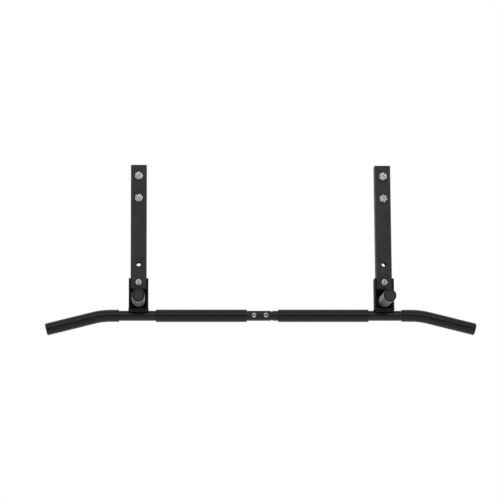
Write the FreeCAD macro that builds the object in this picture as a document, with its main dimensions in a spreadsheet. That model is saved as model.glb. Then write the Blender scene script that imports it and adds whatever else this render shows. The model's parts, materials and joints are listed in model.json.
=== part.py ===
import FreeCAD, Part
import math
import os

import Sketcher
from FreeCAD import Rotation, Vector

# A pull-up bar that hangs under a beam. Two upright arms are bolted to the beam, a two-piece bar
# is bolted under them through welded brackets, and two neutral-grip handles point to the user.
# +X is to the user's right, +Y away from the user into the beam, and +Z up. The origin is the
# centre of the four beam studs, on the plane of the arms' rear faces. Lengths are in millimetres.

# Driving dimensions: alias, value.
DIMENSIONS = [
    # Arms: rectangular tube.
    ("arm_spacing", 610),
    ("arm_width", 40),
    ("arm_depth", 30),
    ("arm_wall", 2),
    ("arm_corner", 4),
    ("arm_top", 54),
    ("arm_bottom", -254),
    ("cap_thickness", 3),
    ("cap_edge", 1.2),
    ("cap_insert", 16),
    ("cap_clearance", 0.2),
    # Beam fasteners: M10 hanger bolts, nuts and washers.
    ("stud_spacing", 56),
    ("stud_diameter", 10),
    ("stud_wood_diameter", 9.4),
    ("stud_front", 45),
    ("stud_rear", 62),
    ("stud_point", 12),
    ("stud_tip_diameter", 1.6),
    ("beam_nut_flats", 17),
    ("beam_nut_thickness", 8.4),
    ("beam_washer_diameter", 20),
    ("beam_washer_thickness", 2),
    ("stud_hole", 11),
    ("spare_hole_height", -193),
    # Bracket: bent channel that hugs the arm's lower end, on a base plate.
    ("plate_thickness", 4),
    ("bracket_clearance", 0.3),
    ("bracket_top", -228),
    ("bracket_bend", 5),
    ("bracket_inner_bend", 1),
    ("base_overhang", 0.5),
    # Bracket fasteners: M8 bolts, lock nuts and washers.
    ("bracket_bolt_height", -239),
    ("bracket_bolt_diameter", 8),
    ("bracket_bolt_length", 45),
    ("bracket_hole", 9),
    ("bracket_head_flats", 13),
    ("bracket_head_thickness", 5.3),
    ("bracket_nut_thickness", 8),
    ("bracket_washer_diameter", 16),
    ("bracket_washer_thickness", 1.6),
    # Bar: round tube, bent down towards each end.
    ("bar_diameter", 25),
    ("bar_wall", 2),
    ("bar_height", -320),
    ("bar_bend_position", 395),
    ("bar_bend_radius", 180),
    ("bar_bend_angle", 14),
    ("bar_end_run", 139),
    # Centre joint: the right tube's swaged spigot slides into the left tube.
    ("left_tube_end", 23),
    ("neck_end", 29.5),
    ("neck_length", 6),
    ("spigot_length", 60),
    ("spigot_diameter", 20.8),
    ("joint_bolt_left", -20),
    ("joint_bolt_right", 10),
    ("joint_bolt_diameter", 6),
    ("joint_bolt_length", 31),
    ("joint_hole", 6.5),
    ("joint_nut_flats", 10),
    ("joint_head_thickness", 4),
    ("joint_nut_thickness", 6),
    # Grips and tube plugs.
    ("centre_grip_diameter", 31),
    ("left_centre_grip_start", 37),
    ("right_centre_grip_start", 41),
    ("centre_grip_length", 225),
    ("end_grip_diameter", 30),
    ("left_end_grip_start", 353),
    ("right_end_grip_start", 349),
    ("plug_thickness", 3),
    ("plug_insert", 18),
    ("grip_setback", 1),
    # Neutral handles, welded to the brackets' back plates.
    ("handle_height", -285),
    ("handle_length", 142),
    ("handle_grip_diameter", 31.5),
    ("handle_grip_start", 36),
    # Weld beads.
    ("handle_weld_leg", 4),
    ("base_weld_leg", 1),
    ("bar_weld_length", 40),
    ("bar_weld_inner", 4),
    ("bar_weld_outer", 9),
]

doc = FreeCAD.newDocument("pull_up_bar")
sheet = doc.addObject("Spreadsheet::Sheet", "Sizes")
for row, (alias, value) in enumerate(DIMENSIONS, start=1):
    sheet.set(f"A{row}", alias)
    sheet.set(f"B{row}", str(value))
    sheet.setAlias(f"B{row}", alias)
doc.recompute()

# Places that several sub-parts share, as expressions over the sheet.
SIDES = {"left": -1, "right": 1}
JOINT_HOLES = ["joint_bolt_left", "joint_bolt_right"]
STUD_HEIGHTS = {"upper": "Sizes.stud_spacing / 2", "lower": "-Sizes.stud_spacing / 2"}
ARM_MIDDLE = "-Sizes.arm_depth / 2"
BAR_AXIS = "((Sizes.plate_thickness - Sizes.arm_depth) / 2)"
BAR_TOP = "Sizes.bar_height + Sizes.bar_diameter / 2"
BAR_BORE = "Sizes.bar_diameter - 2 * Sizes.bar_wall"
BEND_TANGENT = "Sizes.bar_bend_radius * tan(Sizes.bar_bend_angle / 2 * 1 deg)"
BRACKET_BOTTOM = f"{BAR_TOP} + Sizes.plate_thickness"
BRACKET_INNER = "(Sizes.arm_width / 2 + Sizes.bracket_clearance)"
BRACKET_OUTER = f"({BRACKET_INNER} + Sizes.plate_thickness)"
BASE_HALF = f"({BRACKET_OUTER} + Sizes.base_overhang)"
PLUG_FACE = "Sizes.plug_thickness - Sizes.grip_setback"

# Turns that point a piece's own Z along one of the part's axes.
TOWARDS_USER = Rotation(Vector(1, 0, 0), 90)
TOWARDS_BEAM = Rotation(Vector(1, 0, 0), -90)
ALONG_X = Rotation(Vector(0, 1, 0), 90)

# Node name -> the object whose shape is written to that node's file.
nodes = {}


def arm_position(side):
    return f"{SIDES[side]} * Sizes.arm_spacing / 2"


def bind(thing, **expressions):
    """Bind properties to expressions over the sheet; a double underscore stands for a dot."""
    for name, expression in expressions.items():
        thing.setExpression(name.replace("__", "."), expression)


def place(thing, x="0", y="0", z="0", rotation=Rotation()):
    """Turn an object, then bind its position to three expressions."""
    thing.Placement.Rotation = rotation
    bind(thing, Placement__Base__x=x, Placement__Base__y=y, Placement__Base__z=z)


def keep(name, thing):
    """Give a finished sub-part its label and list it for export."""
    thing.Label = name
    nodes[name] = thing
    return thing


# Sketches.


def new_sketch(body, name, plane, offset=None):
    sketch = body.newObject("Sketcher::SketchObject", name)
    planes = {feature.Role: feature for feature in body.Origin.OriginFeatures}
    sketch.AttachmentSupport = [(planes[plane], "")]
    sketch.MapMode = "FlatFace"
    if offset:
        sketch.setExpression("AttachmentOffset.Base.z", offset)
    return sketch


def constrain(sketch, expression, kind, *where):
    """Add a constraint whose size is an expression."""
    index = sketch.addConstraint(Sketcher.Constraint(kind, *where, 10))
    sketch.setExpression(f"Constraints[{index}]", expression)


def draw_outline(sketch, points):
    """Draw a closed outline through points, each a pair of expressions."""
    turn = 2 * math.pi / len(points)
    ring = [Vector(10 * math.cos(i * turn), 10 * math.sin(i * turn)) for i in range(len(points))]
    for i, start in enumerate(ring):
        sketch.addGeometry(Part.LineSegment(start, ring[(i + 1) % len(ring)]))
    for i, (x, y) in enumerate(points):
        sketch.addConstraint(Sketcher.Constraint("Coincident", i, 2, (i + 1) % len(ring), 1))
        constrain(sketch, x, "DistanceX", -1, 1, i, 1)
        constrain(sketch, y, "DistanceY", -1, 1, i, 1)


def draw_rectangle(sketch, width, height):
    """Draw a rectangle centred on the sketch's origin."""
    w, h = f"({width}) / 2", f"({height}) / 2"
    draw_outline(sketch, [(f"-{w}", f"-{h}"), (w, f"-{h}"), (w, h), (f"-{w}", h)])


def draw_circle(sketch, diameter, x="0", y="0"):
    circle = sketch.addGeometry(Part.Circle(Vector(5, 5), Vector(0, 0, 1), 3))
    constrain(sketch, x, "DistanceX", -1, 1, circle, 3)
    constrain(sketch, y, "DistanceY", -1, 1, circle, 3)
    constrain(sketch, diameter, "Diameter", circle)


# Part Design features.


def new_body(name):
    return doc.addObject("PartDesign::Body", name + "_body")


def pad(body, sketch, length):
    feature = body.newObject("PartDesign::Pad", "pad")
    feature.Profile = sketch
    bind(feature, Length=length)
    doc.recompute()
    return feature


def drill(body, name, holes):
    """Drill round holes through a body along Y: (diameter, x, z) expressions in its own frame."""
    volume = body.Shape.Volume
    sketch = new_sketch(body, name, "XZ_Plane")
    for diameter, x, z in holes:
        draw_circle(sketch, diameter, x, z)
    pocket = body.newObject("PartDesign::Pocket", "holes")
    pocket.Profile = sketch
    pocket.Type = "ThroughAll"
    pocket.SideType = "Symmetric"
    doc.recompute()
    assert body.Shape.Volume < volume, f"{name} cut nothing"


def fillet(body, base, radius, wanted):
    """Round the edges of a feature whose middle point passes the test."""
    names = []
    for i, edge in enumerate(base.Shape.Edges, start=1):
        middle = edge.valueAt((edge.FirstParameter + edge.LastParameter) / 2)
        if wanted(edge, middle):
            names.append(f"Edge{i}")
    feature = body.newObject("PartDesign::Fillet", "fillet")
    feature.Base = (base, names)
    bind(feature, Radius=radius)
    doc.recompute()
    return feature


def upright(edge):
    return abs(edge.tangentAt(edge.FirstParameter).z) > 0.99


# Part primitives.


def cylinder(name, diameter, length):
    thing = doc.addObject("Part::Cylinder", name)
    bind(thing, Radius=f"({diameter}) / 2", Height=length)
    return thing


def hexagon(name, flats, thickness):
    """A six-sided prism measured across its flats."""
    thing = doc.addObject("Part::Prism", name)
    thing.Polygon = 6
    bind(thing, Circumradius=f"{flats} / 2 / cos(30 deg)", Height=thickness)
    return thing


def fuse(name, *things):
    fused = doc.addObject("Part::MultiFuse", name)
    fused.Shapes = things
    return fused


def cut(name, base, tool):
    result = doc.addObject("Part::Cut", name)
    result.Base, result.Tool = base, tool
    return result


def group(name, things):
    """Repeated fasteners: separate solids that share one node."""
    compound = doc.addObject("Part::Compound", name + "_group")
    compound.Links = things
    keep(name, compound)


def ring(name, outer, inner, length):
    return cut(name, cylinder(name + "_outer", outer, length), cylinder(name + "_inner", inner, length))


def bolt(name, flats, head, diameter, length):
    """A hexagon bolt: its head lies above Z = 0 and its shank below."""
    shank = cylinder(name + "_shank", diameter, length)
    place(shank, z=f"-{length}")
    return fuse(name, hexagon(name + "_head", flats, head), shank)


def lock_nut(name, flats, thickness, diameter):
    thread = cylinder(name + "_thread", diameter, thickness)
    return cut(name, hexagon(name + "_hexagon", flats, thickness), thread)


# Arms and the plugs in their upper ends.

def make_arm(side):
    """The body's own origin is the middle of the tube's section, level with the beam studs' centre."""
    body = new_body(side + "_arm")
    section = new_sketch(body, "section", "XY_Plane", "Sizes.arm_bottom")
    draw_rectangle(section, "Sizes.arm_width", "Sizes.arm_depth")
    tube = pad(body, section, "Sizes.arm_top - Sizes.arm_bottom")
    fillet(body, tube, "Sizes.arm_corner", lambda edge, middle: upright(edge))
    inside = new_sketch(body, "inside", "XY_Plane", "Sizes.arm_bottom")
    inner_width = "Sizes.arm_width - 2 * Sizes.arm_wall"
    inner_depth = "Sizes.arm_depth - 2 * Sizes.arm_wall"
    draw_rectangle(inside, inner_width, inner_depth)
    hollow = body.newObject("PartDesign::Pocket", "hollow")
    hollow.Profile = inside
    hollow.Type = "ThroughAll"
    hollow.SideType = "Symmetric"
    doc.recompute()
    drill(body, "bolt_holes", [
        ("Sizes.stud_hole", "0", STUD_HEIGHTS["upper"]),
        ("Sizes.stud_hole", "0", STUD_HEIGHTS["lower"]),
        ("Sizes.stud_hole", "0", "Sizes.spare_hole_height"),
        ("Sizes.bracket_hole", "0", "Sizes.bracket_bolt_height"),
    ])
    place(body, x=arm_position(side), y=ARM_MIDDLE)
    keep(side + "_arm", body)


def make_arm_cap(side):
    """A plastic plug: a flange on top of the tube and a hollow box inside it."""
    body = new_body(side + "_arm_cap")
    top = new_sketch(body, "flange", "XY_Plane")
    draw_rectangle(top, "Sizes.arm_width", "Sizes.arm_depth")
    flange = pad(body, top, "Sizes.cap_thickness")
    rounded = fillet(body, flange, "Sizes.arm_corner", lambda edge, middle: upright(edge))
    fillet(body, rounded, "Sizes.cap_edge",
           lambda edge, middle: abs(middle.z - rounded.Shape.BoundBox.ZMax) < 0.01)
    insert = new_sketch(body, "insert", "XY_Plane", "-Sizes.cap_insert")
    fitted = "2 * (Sizes.arm_wall + Sizes.cap_clearance)"
    draw_rectangle(insert, f"Sizes.arm_width - {fitted}", f"Sizes.arm_depth - {fitted}")
    pad(body, insert, "Sizes.cap_insert")
    inside = new_sketch(body, "inside", "XY_Plane", "-Sizes.cap_insert")
    walls = "2 * (2 * Sizes.arm_wall + Sizes.cap_clearance)"
    draw_rectangle(inside, f"Sizes.arm_width - {walls}", f"Sizes.arm_depth - {walls}")
    hollow = body.newObject("PartDesign::Pocket", "hollow")
    hollow.Profile = inside
    hollow.Reversed = True
    bind(hollow, Length="Sizes.cap_insert")
    place(body, x=arm_position(side), y=ARM_MIDDLE, z="Sizes.arm_top")
    keep(side + "_arm_cap", body)


# Beam fasteners.


def make_beam_fasteners():
    studs, washers, nuts = [], [], []
    for side in SIDES:
        for level, height in STUD_HEIGHTS.items():
            name = f"{side}_{level}"
            thread = cylinder(name + "_machine_thread", "Sizes.stud_diameter", "Sizes.stud_front")
            place(thread, z="-Sizes.stud_front")
            shank = cylinder(name + "_wood_thread", "Sizes.stud_wood_diameter",
                             "Sizes.stud_rear - Sizes.stud_point")
            point = doc.addObject("Part::Cone", name + "_point")
            bind(point, Radius1="Sizes.stud_wood_diameter / 2", Radius2="Sizes.stud_tip_diameter / 2",
                 Height="Sizes.stud_point")
            place(point, z="Sizes.stud_rear - Sizes.stud_point")
            stud = fuse(name + "_stud", thread, shank, point)
            place(stud, x=arm_position(side), z=height, rotation=TOWARDS_BEAM)
            washer = ring(name + "_washer", "Sizes.beam_washer_diameter", "Sizes.stud_diameter",
                          "Sizes.beam_washer_thickness")
            place(washer, x=arm_position(side), y="-Sizes.arm_depth", z=height, rotation=TOWARDS_USER)
            nut = lock_nut(name + "_nut", "Sizes.beam_nut_flats", "Sizes.beam_nut_thickness",
                           "Sizes.stud_diameter")
            place(nut, x=arm_position(side), y="-Sizes.arm_depth - Sizes.beam_washer_thickness",
                  z=height, rotation=TOWARDS_USER)
            studs.append(stud)
            washers.append(washer)
            nuts.append(nut)
    group("beam_studs", studs)
    group("beam_washers", washers)
    group("beam_nuts", nuts)


# Brackets, with their base plates, bolts and weld beads.

def make_bracket(side):
    """A channel open to the user; the arm's lower end sits between its two flanges."""
    body = new_body(side + "_bracket")
    plan = new_sketch(body, "plan", "XY_Plane", BRACKET_BOTTOM)
    draw_outline(plan, [
        (f"-{BRACKET_OUTER}", "-Sizes.arm_depth"),
        (f"-{BRACKET_INNER}", "-Sizes.arm_depth"),
        (f"-{BRACKET_INNER}", "0"),
        (BRACKET_INNER, "0"),
        (BRACKET_INNER, "-Sizes.arm_depth"),
        (BRACKET_OUTER, "-Sizes.arm_depth"),
        (BRACKET_OUTER, "Sizes.plate_thickness"),
        (f"-{BRACKET_OUTER}", "Sizes.plate_thickness"),
    ])
    channel = pad(body, plan, f"Sizes.bracket_top - ({BRACKET_BOTTOM})")
    rear = channel.Shape.BoundBox.YMax
    bent = fillet(body, channel, "Sizes.bracket_bend",
                  lambda edge, middle: upright(edge) and abs(middle.y - rear) < 0.01)
    fillet(body, bent, "Sizes.bracket_inner_bend",
           lambda edge, middle: upright(edge) and abs(middle.y) < 0.01)
    drill(body, "bolt_hole", [("Sizes.bracket_hole", "0", "Sizes.bracket_bolt_height")])
    place(body, x=arm_position(side))
    keep(side + "_bracket", body)


def make_bracket_base(side):
    """The plate under the channel that rests on the bar."""
    plate = doc.addObject("Part::Box", side + "_base")
    bind(plate, Length=f"2 * {BASE_HALF}", Width="Sizes.arm_depth + Sizes.plate_thickness",
         Height="Sizes.plate_thickness")
    place(plate, x=f"{arm_position(side)} - {BASE_HALF}", y="-Sizes.arm_depth", z=BAR_TOP)
    keep(side + "_bracket_base", plate)


def make_bracket_welds(side):
    """Beads along the channel's two feet, and before and behind the bar under the plate."""
    beads = []
    for end, sign in SIDES.items():
        body = new_body(f"{side}_{end}_foot_bead")
        section = new_sketch(body, "section", "XZ_Plane")
        foot = f"{sign} * Sizes.base_weld_leg"
        draw_outline(section, [("0", "0"), (foot, "0"), ("0", "Sizes.base_weld_leg")])
        pad(body, section, "Sizes.arm_depth")
        place(body, x=f"{arm_position(side)} + {sign} * {BRACKET_OUTER}", z=BRACKET_BOTTOM)
        beads.append(body)
    for end, sign in SIDES.items():
        name = f"{side}_{end}_bar_bead"
        block = doc.addObject("Part::Box", name + "_block")
        bind(block, Length="Sizes.bar_weld_length", Width="Sizes.bar_weld_outer - Sizes.bar_weld_inner",
             Height="Sizes.bar_diameter / 4")
        middle = "(Sizes.bar_weld_outer + Sizes.bar_weld_inner) / 2"
        width = "(Sizes.bar_weld_outer - Sizes.bar_weld_inner) / 2"
        place(block, x=f"{arm_position(side)} - Sizes.bar_weld_length / 2",
              y=f"{BAR_AXIS} + {sign} * {middle} - {width}", z=f"{BAR_TOP} - Sizes.bar_diameter / 4")
        bar = cylinder(name + "_bar", "Sizes.bar_diameter", "Sizes.bar_weld_length")
        place(bar, x=f"{arm_position(side)} - Sizes.bar_weld_length / 2", y=BAR_AXIS,
              z="Sizes.bar_height", rotation=ALONG_X)
        beads.append(cut(name, block, bar))
    group(side + "_bracket_welds", beads)


def make_bracket_fasteners():
    bolts, washers, nuts = [], [], []
    for side in SIDES:
        name = side + "_bracket"
        x, z = arm_position(side), "Sizes.bracket_bolt_height"
        screw = bolt(name + "_bolt", "Sizes.bracket_head_flats", "Sizes.bracket_head_thickness",
                     "Sizes.bracket_bolt_diameter", "Sizes.bracket_bolt_length")
        place(screw, x=x, y="Sizes.plate_thickness", z=z, rotation=TOWARDS_BEAM)
        washer = ring(name + "_washer", "Sizes.bracket_washer_diameter", "Sizes.bracket_bolt_diameter",
                      "Sizes.bracket_washer_thickness")
        place(washer, x=x, y="-Sizes.arm_depth", z=z, rotation=TOWARDS_USER)
        nut = lock_nut(name + "_nut", "Sizes.bracket_head_flats", "Sizes.bracket_nut_thickness",
                       "Sizes.bracket_bolt_diameter")
        place(nut, x=x, y="-Sizes.arm_depth - Sizes.bracket_washer_thickness", z=z, rotation=TOWARDS_USER)
        bolts.append(screw)
        washers.append(washer)
        nuts.append(nut)
    group("bracket_bolts", bolts)
    group("bracket_washers", washers)
    group("bracket_nuts", nuts)


# The bar: two tubes, the right one with a swaged spigot that slides into the left one.

def bar_sweep(body, start, end_run, diameter, kind):
    """Sweep a circle along the bar's centreline, from X = start (expression) to end_run after the bend.

    The body's own origin is the start, and the bend drops towards its -Z."""
    path = new_sketch(body, "centreline", "XZ_Plane")
    radius, angle = sheet.bar_bend_radius, math.radians(sheet.bar_bend_angle)
    bend_end = Vector(100 + radius * math.sin(angle), radius * (math.cos(angle) - 1))
    tip = bend_end + Vector(math.cos(angle), -math.sin(angle)) * 100
    run = path.addGeometry(Part.LineSegment(Vector(0, 0), Vector(100, 0)))
    circle = Part.Circle(Vector(100, -radius), Vector(0, 0, 1), radius)
    bend = path.addGeometry(Part.ArcOfCircle(circle, math.pi / 2 - angle, math.pi / 2))
    slope = path.addGeometry(Part.LineSegment(bend_end, tip))
    path.addConstraint(Sketcher.Constraint("Coincident", run, 1, -1, 1))
    path.addConstraint(Sketcher.Constraint("Horizontal", run))
    path.addConstraint(Sketcher.Constraint("Tangent", run, 2, bend, 2))
    path.addConstraint(Sketcher.Constraint("Tangent", bend, 1, slope, 1))
    constrain(path, f"Sizes.bar_bend_position - ({start}) - {BEND_TANGENT}", "Distance", run)
    constrain(path, "Sizes.bar_bend_radius", "Radius", bend)
    fall = path.addConstraint(Sketcher.Constraint("Angle", slope, -angle))
    path.setExpression(f"Constraints[{fall}]", "-Sizes.bar_bend_angle")
    constrain(path, f"{end_run} - {BEND_TANGENT}", "Distance", slope)
    section = new_sketch(body, "section", "YZ_Plane")
    draw_circle(section, diameter)
    doc.recompute()
    pipe = body.newObject(f"PartDesign::{kind}Pipe", "pipe")
    pipe.Profile = section
    pipe.Spine = path
    doc.recompute()


def place_on_bar(body, side, start):
    """Put a swept piece on its side; the left one is turned half round."""
    turn = Rotation(Vector(0, 0, 1), 0 if side == "right" else 180)
    place(body, x=f"{SIDES[side]} * ({start})", y=BAR_AXIS, z="Sizes.bar_height", rotation=turn)


def make_left_tube():
    start = "-Sizes.left_tube_end"
    body = new_body("left_bar_tube")
    bar_sweep(body, start, "Sizes.bar_end_run", "Sizes.bar_diameter", "Additive")
    bar_sweep(body, start, "Sizes.bar_end_run", BAR_BORE, "Subtractive")
    drill(body, "joint_holes", [
        ("Sizes.joint_hole", f"Sizes.left_tube_end - Sizes.{hole}", "0")
        for hole in JOINT_HOLES
    ])
    place_on_bar(body, "left", start)
    keep("left_bar_tube", body)


def make_right_tube():
    start = "Sizes.neck_end"
    body = new_body("right_bar_tube")
    bar_sweep(body, start, "Sizes.bar_end_run", "Sizes.bar_diameter", "Additive")
    bar_sweep(body, start, "Sizes.bar_end_run", BAR_BORE, "Subtractive")
    swage = new_sketch(body, "swage", "XZ_Plane")
    outer = "Sizes.spigot_diameter / 2"
    draw_outline(swage, [
        ("0", "Sizes.bar_diameter / 2 - Sizes.bar_wall"),
        ("0", "Sizes.bar_diameter / 2"),
        ("-Sizes.neck_length", outer),
        ("-(Sizes.neck_length + Sizes.spigot_length)", outer),
        ("-(Sizes.neck_length + Sizes.spigot_length)", f"{outer} - Sizes.bar_wall"),
        ("-Sizes.neck_length", f"{outer} - Sizes.bar_wall"),
    ])
    spigot = body.newObject("PartDesign::Revolution", "spigot")
    spigot.Profile = swage
    spigot.ReferenceAxis = (swage, ["H_Axis"])
    doc.recompute()
    drill(body, "joint_holes", [
        ("Sizes.joint_hole", f"Sizes.{hole} - Sizes.neck_end", "0")
        for hole in JOINT_HOLES
    ])
    place_on_bar(body, "right", start)
    keep("right_bar_tube", body)


def make_joint_fasteners():
    bolts, nuts = [], []
    for hole in JOINT_HOLES:
        screw = bolt(hole + "_bolt", "Sizes.joint_nut_flats", "Sizes.joint_head_thickness",
                     "Sizes.joint_bolt_diameter", "Sizes.joint_bolt_length")
        place(screw, x=f"Sizes.{hole}", y=f"{BAR_AXIS} + Sizes.bar_diameter / 2",
              z="Sizes.bar_height", rotation=TOWARDS_BEAM)
        nut = lock_nut(hole + "_nut", "Sizes.joint_nut_flats", "Sizes.joint_nut_thickness",
                       "Sizes.joint_bolt_diameter")
        place(nut, x=f"Sizes.{hole}", y=f"{BAR_AXIS} - Sizes.bar_diameter / 2",
              z="Sizes.bar_height", rotation=TOWARDS_USER)
        bolts.append(screw)
        nuts.append(nut)
    group("joint_bolts", bolts)
    group("joint_nuts", nuts)


# Grips, and the plugs in the ends of the bar.


def make_centre_grip(side):
    grip = ring(side + "_centre_grip_foam", "Sizes.centre_grip_diameter", "Sizes.bar_diameter",
                "Sizes.centre_grip_length")
    turn = Rotation(Vector(0, 1, 0), 90 * SIDES[side])
    start = f"{SIDES[side]} * Sizes.{side}_centre_grip_start"
    place(grip, x=start, y=BAR_AXIS, z="Sizes.bar_height", rotation=turn)
    keep(side + "_centre_grip", grip)


def make_end_grip(side):
    start = f"Sizes.{side}_end_grip_start"
    end_run = f"Sizes.bar_end_run + {PLUG_FACE}"
    body = new_body(side + "_end_grip")
    bar_sweep(body, start, end_run, "Sizes.end_grip_diameter", "Additive")
    bar_sweep(body, start, end_run, "Sizes.bar_diameter", "Subtractive")
    place_on_bar(body, side, start)
    keep(side + "_end_grip", body)


def make_tube_plug(name):
    """A plastic plug for a bar or handle tube: the flange lies above Z = 0, the insert below."""
    insert = cylinder(name + "_insert", BAR_BORE, "Sizes.plug_insert")
    place(insert, z="-Sizes.plug_insert")
    flange = cylinder(name + "_flange", "Sizes.bar_diameter", "Sizes.plug_thickness")
    return keep(name, fuse(name + "_plug", flange, insert))


def make_bar_end_plug(side):
    plug = make_tube_plug(side + "_bar_end_plug")
    slope = "Sizes.bar_bend_angle * 1 deg"
    outward = Rotation(Vector(0, 1, 0), SIDES[side] * (90 + sheet.bar_bend_angle))
    place(plug, x=f"{SIDES[side]} * (Sizes.bar_bend_position + Sizes.bar_end_run * cos({slope}))",
          y=BAR_AXIS, z=f"Sizes.bar_height - Sizes.bar_end_run * sin({slope})", rotation=outward)


# Neutral handles.


def make_handle(side):
    x, z = arm_position(side), "Sizes.handle_height"
    tube = ring(side + "_handle", "Sizes.bar_diameter", BAR_BORE, "Sizes.handle_length")
    place(tube, x=x, z=z, rotation=TOWARDS_USER)
    keep(side + "_handle_tube", tube)
    grip = ring(side + "_handle_foam", "Sizes.handle_grip_diameter", "Sizes.bar_diameter",
                f"Sizes.handle_length + {PLUG_FACE} - Sizes.handle_grip_start")
    place(grip, x=x, y="-Sizes.handle_grip_start", z=z, rotation=TOWARDS_USER)
    keep(side + "_handle_grip", grip)
    plug = make_tube_plug(side + "_handle_plug")
    place(plug, x=x, y="-Sizes.handle_length", z=z, rotation=TOWARDS_USER)
    bead = doc.addObject("Part::Cone", side + "_handle_bead")
    bind(bead, Radius1="Sizes.bar_diameter / 2 + Sizes.handle_weld_leg", Radius2="Sizes.bar_diameter / 2",
         Height="Sizes.handle_weld_leg")
    core = cylinder(side + "_handle_bead_core", "Sizes.bar_diameter", "Sizes.handle_weld_leg")
    weld = cut(side + "_handle_bead_ring", bead, core)
    place(weld, x=x, z=z, rotation=TOWARDS_USER)
    keep(side + "_handle_weld", weld)


for side in SIDES:
    make_arm(side)
    make_arm_cap(side)
    make_bracket(side)
    make_bracket_base(side)
    make_bracket_welds(side)
    make_centre_grip(side)
    make_end_grip(side)
    make_bar_end_plug(side)
    make_handle(side)
make_left_tube()
make_right_tube()
make_beam_fasteners()
make_bracket_fasteners()
make_joint_fasteners()
doc.recompute()

# Nothing is written unless every object computed and every sub-part is a sound solid.
for thing in doc.Objects:
    assert not {"Invalid", "Error"} & set(thing.State), f"{thing.Label}: {thing.State}"
for name, thing in nodes.items():
    shape = thing.Shape
    assert not shape.isNull() and shape.isValid() and shape.Solids, f"{name} is not a valid solid"

os.makedirs("parts", exist_ok=True)
for name, thing in sorted(nodes.items()):
    thing.Shape.exportStep(f"parts/{name}.step")
    box = thing.Shape.BoundBox
    print(f"{name:22s} solids {len(thing.Shape.Solids)}  {thing.Shape.Volume / 1000:8.2f} cm3"
          f"  x {box.XMin:8.2f} {box.XMax:8.2f}  y {box.YMin:8.2f} {box.YMax:8.2f}"
          f"  z {box.ZMin:8.2f} {box.ZMax:8.2f}")
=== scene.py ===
import json
import math

import bmesh
import bpy
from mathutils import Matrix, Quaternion, Vector


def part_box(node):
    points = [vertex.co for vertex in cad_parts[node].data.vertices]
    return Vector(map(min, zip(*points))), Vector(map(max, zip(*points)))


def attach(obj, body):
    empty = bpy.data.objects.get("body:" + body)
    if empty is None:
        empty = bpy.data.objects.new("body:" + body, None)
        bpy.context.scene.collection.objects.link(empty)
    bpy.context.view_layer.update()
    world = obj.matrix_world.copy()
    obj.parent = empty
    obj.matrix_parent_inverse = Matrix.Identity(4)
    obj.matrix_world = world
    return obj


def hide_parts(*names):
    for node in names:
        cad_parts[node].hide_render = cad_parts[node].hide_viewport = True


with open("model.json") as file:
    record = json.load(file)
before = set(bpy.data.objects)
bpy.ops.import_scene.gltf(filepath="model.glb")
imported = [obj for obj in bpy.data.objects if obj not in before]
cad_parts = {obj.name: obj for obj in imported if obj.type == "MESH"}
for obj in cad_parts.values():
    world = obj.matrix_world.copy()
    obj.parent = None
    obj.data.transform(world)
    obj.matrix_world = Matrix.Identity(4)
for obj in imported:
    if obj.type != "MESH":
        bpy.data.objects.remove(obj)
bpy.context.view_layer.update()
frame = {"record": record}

SIDES = {"left": -1, "right": 1}


# ---- Arms ----------------------------------------------------------------------------------
# The two uprights are rectangular steel tube, cut square and open at the foot. Each is drilled
# right through four times: twice for the beam, once spare and once for the bracket bolt. They
# are powder coated in black, which leaves a fine orange peel and soft edges.
ARM_WALL = 0.002
ARM_CORNER = 0.004
BEAM_NUT_FLATS = 0.017
BEAM_HOLE = 0.011
BRACKET_HOLE = 0.009
SOFT_EDGE = 0.0004


def middle(node):
    """The middle of a CAD node's box."""
    low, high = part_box(node)
    return (low + high) / 2


def start_piece(primitive, **placement):
    """Add a primitive with nothing else selected, and fix its size and place in its mesh."""
    if bpy.context.object and bpy.context.object.mode == "EDIT":
        bpy.ops.object.mode_set(mode="OBJECT")
    bpy.ops.object.select_all(action="DESELECT")
    getattr(bpy.ops.mesh, f"primitive_{primitive}_add")(**placement)
    bpy.ops.object.transform_apply(location=True, rotation=True, scale=True)
    return bpy.context.object


def start_block(low, high):
    """A block between two corners."""
    return start_piece("cube", size=1, location=(low + high) / 2, scale=high - low)


def pick(kind, test):
    """In edit mode, select only the verts, edges or faces that pass a test."""
    if bpy.context.object.mode != "EDIT":
        bpy.ops.object.mode_set(mode="EDIT")
    bpy.ops.mesh.select_mode(type={"verts": "VERT", "edges": "EDGE", "faces": "FACE"}[kind])
    bpy.ops.mesh.select_all(action="DESELECT")
    shape = bmesh.from_edit_mesh(bpy.context.object.data)
    for item in getattr(shape, kind):
        if test(item):
            item.select_set(True)
    bmesh.update_edit_mesh(bpy.context.object.data)


def runs_along(edge, axis):
    """Whether an edge is parallel to an axis."""
    direction = edge.verts[1].co - edge.verts[0].co
    return abs(direction.normalized()[axis]) > 0.999


def work(piece, kind, **settings):
    """Run one modifier over a piece and apply it."""
    if bpy.context.object.mode == "EDIT":
        bpy.ops.object.mode_set(mode="OBJECT")
    bpy.context.view_layer.objects.active = piece
    modifier = piece.modifiers.new(kind.lower(), kind)
    for name, value in settings.items():
        setattr(modifier, name, value)
    bpy.ops.object.modifier_apply(modifier=modifier.name)


def carve(piece, tool, operation="DIFFERENCE"):
    """Cut one piece by another, which is used up."""
    work(piece, "BOOLEAN", object=tool, operation=operation, solver="EXACT")
    bpy.data.objects.remove(tool)


def drill_through(piece, x, z, diameter):
    """Drill a round hole through a piece, front to back."""
    bit = start_piece("cylinder", vertices=40, radius=diameter / 2, depth=0.2,
                      location=(x, 0, z), rotation=(math.pi / 2, 0, 0))
    carve(piece, bit)


def soften(piece, width=SOFT_EDGE, segments=2):
    """Break the sharp edges."""
    work(piece, "BEVEL", width=width, segments=segments, limit_method="ANGLE",
         angle_limit=math.radians(35), use_clamp_overlap=True)


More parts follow.
